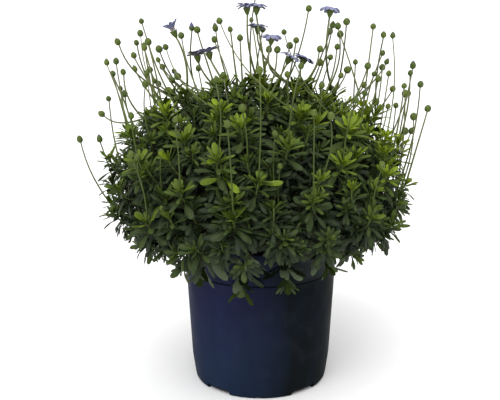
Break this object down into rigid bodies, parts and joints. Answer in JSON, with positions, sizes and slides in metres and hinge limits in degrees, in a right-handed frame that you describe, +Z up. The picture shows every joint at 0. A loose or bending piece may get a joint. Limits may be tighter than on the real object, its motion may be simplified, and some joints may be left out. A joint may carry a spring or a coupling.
{
  "type": "potted blue daisy",
  "caption": "Bushy cushion of leafy green shoots in a dark blue tapered pot, with round buds and small blue daisies on bare stalks above the leaves.",
  "frame": {"origin": "middle of the pot's flat base, on the surface that it stands on", "axes": "+Z up along the pot's axis, -Y towards the front that the picture shows, +X to the right in it"},
  "size_m": [0.3767, 0.3566, 0.416],
  "materials": {
    "pot": "satin dark blue polypropylene",
    "soil": "rough dark brown potting compost",
    "leaf": "softly glossy green leaves, stems, stalks and buds",
    "ray": "matt violet blue petals",
    "eye": "matt yellow florets"
  },
  "bodies": {
    "root": {"pot": "pot", "soil": "soil", "stem_01": "leaf", "stem_02": "leaf", "stem_03": "leaf", "stem_04": "leaf", "stem_05": "leaf", "stem_06": "leaf", "stem_07": "leaf", "stem_08": "leaf", "stem_09": "leaf", "stem_10": "leaf", "stem_11": "leaf", "stem_12": "leaf", "stem_13": "leaf", "stem_14": "leaf", "stem_15": "leaf", "stem_16": "leaf", "stem_17": "leaf", "stem_18": "leaf", "stem_19": "leaf", "stem_20": "leaf", "stem_21": "leaf", "stem_22": "leaf", "stem_23": "leaf", "stem_24": "leaf", "stem_25": "leaf", "stem_26": "leaf", "rays_01": "ray", "rays_02": "ray", "rays_03": "ray", "rays_04": "ray", "rays_05": "ray", "rays_06": "ray", "rays_07": "ray", "rays_08": "ray", "rays_09": "ray", "rays_10": "ray", "eye_01": "eye", "eye_02": "eye", "eye_03": "eye", "eye_04": "eye", "eye_05": "eye", "eye_06": "eye", "eye_07": "eye", "eye_08": "eye", "eye_09": "eye", "eye_10": "eye"}
  },
  "joints": []
}
